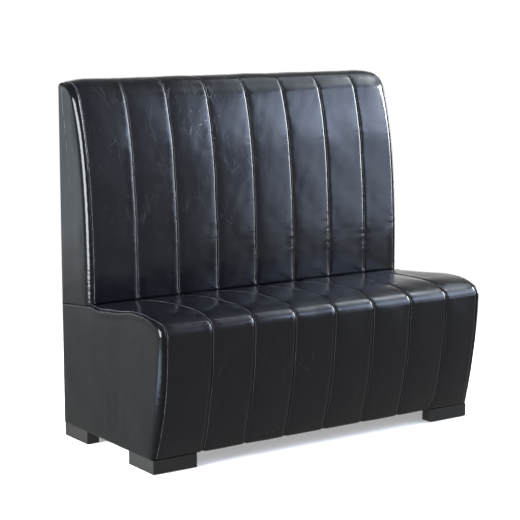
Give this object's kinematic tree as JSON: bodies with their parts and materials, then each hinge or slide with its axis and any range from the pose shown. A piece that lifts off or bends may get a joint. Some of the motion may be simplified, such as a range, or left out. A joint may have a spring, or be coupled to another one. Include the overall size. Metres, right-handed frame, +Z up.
{
  "type": "restaurant booth bench",
  "caption": "Freestanding restaurant booth bench with a channelled leather seat and high back on low corner legs.",
  "frame": {"origin": "on the floor, at the middle of the bench's length and depth", "axes": "+X along the bench, to the right for someone who faces its front; -Y towards the front; +Z up"},
  "size_m": [1.2, 0.6, 1.12],
  "materials": {
    "channel_leather": "black, semi-gloss, fine creases",
    "side_leather": "black, semi-gloss, fine grain",
    "rear_vinyl": "black, satin",
    "dust_cloth": "thin black cloth",
    "seat_foam": "open foam",
    "leg_lacquer": "black satin lacquer",
    "glide_nylon": "matt",
    "zinc_steel": "zinc plated",
    "frame_plywood": "bare plywood"
  },
  "bodies": {
    "root": {"back_bearer": "frame_plywood", "back_bottom_rail": "frame_plywood", "back_channel_1": "channel_leather", "back_channel_2": "channel_leather", "back_channel_3": "channel_leather", "back_channel_4": "channel_leather", "back_channel_5": "channel_leather", "back_channel_6": "channel_leather", "back_channel_7": "channel_leather", "back_channel_8": "channel_leather", "back_foam": "seat_foam", "back_front_skin": "frame_plywood", "back_rear_board": "frame_plywood", "back_rear_cover": "rear_vinyl", "back_top_rail": "frame_plywood", "base_front_board": "frame_plywood", "base_rear_board": "frame_plywood", "base_rear_cover": "rear_vinyl", "corner_blocks": "frame_plywood", "deck_screws": "zinc_steel", "dust_cover": "dust_cloth", "front_bottom_rail": "frame_plywood", "front_foam": "seat_foam", "front_left_leg": "leg_lacquer", "front_right_leg": "leg_lacquer", "joining_bolts": "zinc_steel", "joining_tee_nuts": "zinc_steel", "joining_washers": "zinc_steel", "left_back_cover": "side_leather", "left_back_end_panel": "frame_plywood", "left_back_rib": "frame_plywood", "left_base_cover": "side_leather", "left_base_end_panel": "frame_plywood", "left_base_rib": "frame_plywood", "left_bottom_rail": "frame_plywood", "leg_glides": "glide_nylon", "leg_screws": "zinc_steel", "rear_bottom_rail": "frame_plywood", "rear_left_leg": "leg_lacquer", "rear_right_leg": "leg_lacquer", "right_back_cover": "side_leather", "right_back_end_panel": "frame_plywood", "right_back_rib": "frame_plywood", "right_base_cover": "side_leather", "right_base_end_panel": "frame_plywood", "right_base_rib": "frame_plywood", "right_bottom_rail": "frame_plywood", "seat_channel_1": "channel_leather", "seat_channel_2": "channel_leather", "seat_channel_3": "channel_leather", "seat_channel_4": "channel_leather", "seat_channel_5": "channel_leather", "seat_channel_6": "channel_leather", "seat_channel_7": "channel_leather", "seat_channel_8": "channel_leather", "seat_deck": "frame_plywood", "seat_foam": "seat_foam", "seat_riser": "frame_plywood"}
  },
  "joints": []
}
